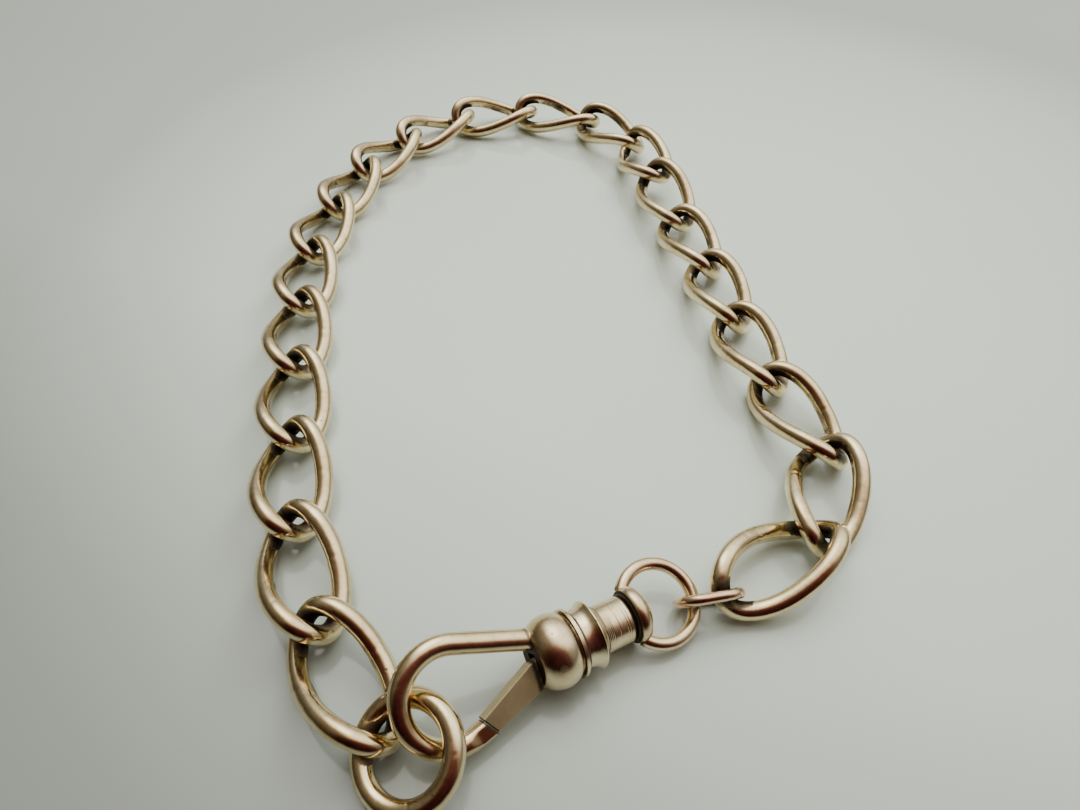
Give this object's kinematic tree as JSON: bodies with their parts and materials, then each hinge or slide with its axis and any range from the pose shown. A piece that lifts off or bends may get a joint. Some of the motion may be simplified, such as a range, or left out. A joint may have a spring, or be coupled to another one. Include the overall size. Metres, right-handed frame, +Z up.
{
  "type": "pocket watch chain",
  "caption": "Heavy curb-link pocket watch chain in worn gold, with an end ring and a swivel clip hooked into a closed loop.",
  "frame": {"origin": "on the surface that the chain lies on, under the middle of the box round the whole chain", "axes": "+Z up from that surface, +Y along the loop away from the clip, +X from the end ring side to the bow side"},
  "size_m": [0.0723, 0.1205, 0.0082],
  "materials": {
    "link_wire": "worn polish with dark grime in the bends",
    "end_ring_wire": "worn polish",
    "jump_ring_wire": "worn, dull in the bends",
    "bow_wire": "polished, coppery solder at one end",
    "turned_gold": "turned and polished, dark in the grooves",
    "collar_gold": "polished with nicks",
    "hook_wire": "polished",
    "gate_plate": "dull brushed",
    "pin_metal": "polished",
    "spring_steel": "blued spring steel"
  },
  "bodies": {
    "clip_end": {"swivel_head": "turned_gold", "swivel_post": "pin_metal", "bow": "bow_wire"},
    "clip_body": {"collar": "collar_gold", "barrel": "turned_gold", "hook": "hook_wire", "gate_pin": "pin_metal", "gate_spring": "spring_steel"},
    "gate": {"gate": "gate_plate"},
    "jump_ring": {"jump_ring": "jump_ring_wire"},
    "end_ring": {"end_ring": "end_ring_wire"},
    "link_01": {"link_01": "link_wire"},
    "link_02": {"link_02": "link_wire"},
    "link_03": {"link_03": "link_wire"},
    "link_04": {"link_04": "link_wire"},
    "link_05": {"link_05": "link_wire"},
    "link_06": {"link_06": "link_wire"},
    "link_07": {"link_07": "link_wire"},
    "link_08": {"link_08": "link_wire"},
    "link_09": {"link_09": "link_wire"},
    "link_10": {"link_10": "link_wire"},
    "link_11": {"link_11": "link_wire"},
    "link_12": {"link_12": "link_wire"},
    "link_13": {"link_13": "link_wire"},
    "link_14": {"link_14": "link_wire"},
    "link_15": {"link_15": "link_wire"},
    "link_16": {"link_16": "link_wire"},
    "link_17": {"link_17": "link_wire"},
    "link_18": {"link_18": "link_wire"},
    "link_19": {"link_19": "link_wire"},
    "link_20": {"link_20": "link_wire"},
    "link_21": {"link_21": "link_wire"}
  },
  "joints": [
    {"name": "turn_jump_ring", "type": "hinge", "parent": "clip_end", "child": "jump_ring", "pos_m": [0.01482, -0.04121, 0.00228], "axis": [0, 0, 1], "range_deg": [-0.42, 1.61]},
    {"name": "turn_link_21", "type": "hinge", "parent": "jump_ring", "child": "link_21", "pos_m": [0.01951, -0.03991, 0.00262], "axis": [0, 0, 1], "range_deg": [-16, 4]},
    {"name": "turn_link_20", "type": "hinge", "parent": "link_21", "child": "link_20", "pos_m": [0.02954, -0.03379, 0.00262], "axis": [0, 0, 1], "range_deg": [-3.62, 14.43]},
    {"name": "turn_link_19", "type": "hinge", "parent": "link_20", "child": "link_19", "pos_m": [0.03317, -0.02262, 0.00262], "axis": [0, 0, 1], "range_deg": [-1.46, 5.79]},
    {"name": "turn_link_18", "type": "hinge", "parent": "link_19", "child": "link_18", "pos_m": [0.02858, -0.0118, 0.00262], "axis": [0, 0, 1], "range_deg": [-5.79, 1.46]},
    {"name": "turn_link_17", "type": "hinge", "parent": "link_18", "child": "link_17", "pos_m": [0.02594, -0.00035, 0.00262], "axis": [0, 0, 1], "range_deg": [-25, 25]},
    {"name": "turn_link_16", "type": "hinge", "parent": "link_17", "child": "link_16", "pos_m": [0.0239, 0.01122, 0.00262], "axis": [0, 0, 1], "range_deg": [-25.02, 25.02]},
    {"name": "turn_link_15", "type": "hinge", "parent": "link_16", "child": "link_15", "pos_m": [0.02106, 0.02262, 0.00262], "axis": [0, 0, 1], "range_deg": [-20, 18]},
    {"name": "turn_link_14", "type": "hinge", "parent": "link_15", "child": "link_14", "pos_m": [0.01843, 0.03401, 0.00385], "axis": [0, 0, 1], "range_deg": [-18.02, 20.02]},
    {"name": "turn_link_13", "type": "hinge", "parent": "link_14", "child": "link_13", "pos_m": [0.01569, 0.0454, 0.00303], "axis": [0, 0, 1], "range_deg": [-8, 8]},
    {"name": "turn_link_12", "type": "hinge", "parent": "link_13", "child": "link_12", "pos_m": [0.00846, 0.05466, 0.00262], "axis": [0, 0, 1], "range_deg": [-8.02, 8.02]},
    {"name": "turn_link_11", "type": "hinge", "parent": "link_12", "child": "link_11", "pos_m": [-0.00305, 0.057, 0.00262], "axis": [0, 0, 1], "range_deg": [-11.26, 2.83]},
    {"name": "turn_link_10", "type": "hinge", "parent": "link_11", "child": "link_10", "pos_m": [-0.01438, 0.05386, 0.00262], "axis": [0, 0, 1], "range_deg": [-2.83, 11.26]},
    {"name": "turn_link_09", "type": "hinge", "parent": "link_10", "child": "link_09", "pos_m": [-0.02304, 0.04592, 0.00262], "axis": [0, 0, 1], "range_deg": [-7.8, 1.97]},
    {"name": "turn_link_08", "type": "hinge", "parent": "link_09", "child": "link_08", "pos_m": [-0.02874, 0.03564, 0.00262], "axis": [0, 0, 1], "range_deg": [-1.97, 7.8]},
    {"name": "turn_link_07", "type": "hinge", "parent": "link_08", "child": "link_07", "pos_m": [-0.03128, 0.02417, 0.00262], "axis": [0, 0, 1], "range_deg": [-1.97, 7.8]},
    {"name": "turn_link_06", "type": "hinge", "parent": "link_07", "child": "link_06", "pos_m": [-0.03234, 0.01247, 0.00262], "axis": [0, 0, 1], "range_deg": [-7.8, 1.97]},
    {"name": "turn_link_05", "type": "hinge", "parent": "link_06", "child": "link_05", "pos_m": [-0.03112, 0.00078, 0.00262], "axis": [0, 0, 1], "range_deg": [-25.02, 25.02]},
    {"name": "turn_link_04", "type": "hinge", "parent": "link_05", "child": "link_04", "pos_m": [-0.02908, -0.01079, 0.00262], "axis": [0, 0, 1], "range_deg": [-25.02, 25.02]},
    {"name": "turn_link_03", "type": "hinge", "parent": "link_04", "child": "link_03", "pos_m": [-0.02653, -0.02226, 0.00262], "axis": [0, 0, 1], "range_deg": [-20.02, 18.02]},
    {"name": "turn_link_02", "type": "hinge", "parent": "link_03", "child": "link_02", "pos_m": [-0.02389, -0.03371, 0.00262], "axis": [0, 0, 1], "range_deg": [-18.02, 20.02]},
    {"name": "turn_link_01", "type": "hinge", "parent": "link_02", "child": "link_01", "pos_m": [-0.01911, -0.04444, 0.00262], "axis": [0, 0, 1], "range_deg": [-8.02, 8.02]},
    {"name": "turn_end_ring", "type": "hinge", "parent": "link_01", "child": "end_ring", "pos_m": [-0.01188, -0.0537, 0.00262], "axis": [0, 0, 1], "range_deg": [-8.02, 8.02]},
    {"name": "swivel", "type": "hinge", "parent": "clip_end", "child": "clip_body", "pos_m": [0.00283, -0.04674, 0.00351], "axis": [-0.8691, -0.4847, 0.0988], "range_deg": [-18, 2]},
    {"name": "gate_swing", "type": "hinge", "parent": "clip_body", "child": "gate", "pos_m": [0.00229, -0.0477, 0.00313], "axis": [-0.3747, 0.5147, -0.7712], "range_deg": [0, 16], "stiffness_Nm_per_rad": 0.01, "springref_deg": -20.05}
  ],
  "couplings": [
    {"joint": "turn_link_14", "follows": "turn_link_15", "ratio": -1},
    {"joint": "turn_link_03", "follows": "turn_link_15", "ratio": 1},
    {"joint": "turn_link_02", "follows": "turn_link_15", "ratio": -1},
    {"joint": "turn_link_16", "follows": "turn_link_17", "ratio": -1},
    {"joint": "turn_link_05", "follows": "turn_link_17", "ratio": 1},
    {"joint": "turn_link_04", "follows": "turn_link_17", "ratio": -1},
    {"joint": "turn_link_12", "follows": "turn_link_13", "ratio": -1},
    {"joint": "turn_link_01", "follows": "turn_link_13", "ratio": 1},
    {"joint": "turn_end_ring", "follows": "turn_link_13", "ratio": -1},
    {"joint": "turn_jump_ring", "follows": "turn_link_21", "ratio": -0.0991},
    {"joint": "turn_link_20", "follows": "turn_link_21", "ratio": -0.9009},
    {"joint": "turn_link_19", "follows": "turn_link_21", "ratio": -0.36036},
    {"joint": "turn_link_18", "follows": "turn_link_21", "ratio": 0.36036},
    {"joint": "turn_link_11", "follows": "turn_link_21", "ratio": 0.7027},
    {"joint": "turn_link_10", "follows": "turn_link_21", "ratio": -0.7027},
    {"joint": "turn_link_09", "follows": "turn_link_21", "ratio": 0.48649},
    {"joint": "turn_link_08", "follows": "turn_link_21", "ratio": -0.48649},
    {"joint": "turn_link_07", "follows": "turn_link_21", "ratio": -0.48649},
    {"joint": "turn_link_06", "follows": "turn_link_21", "ratio": 0.48649}
  ]
}
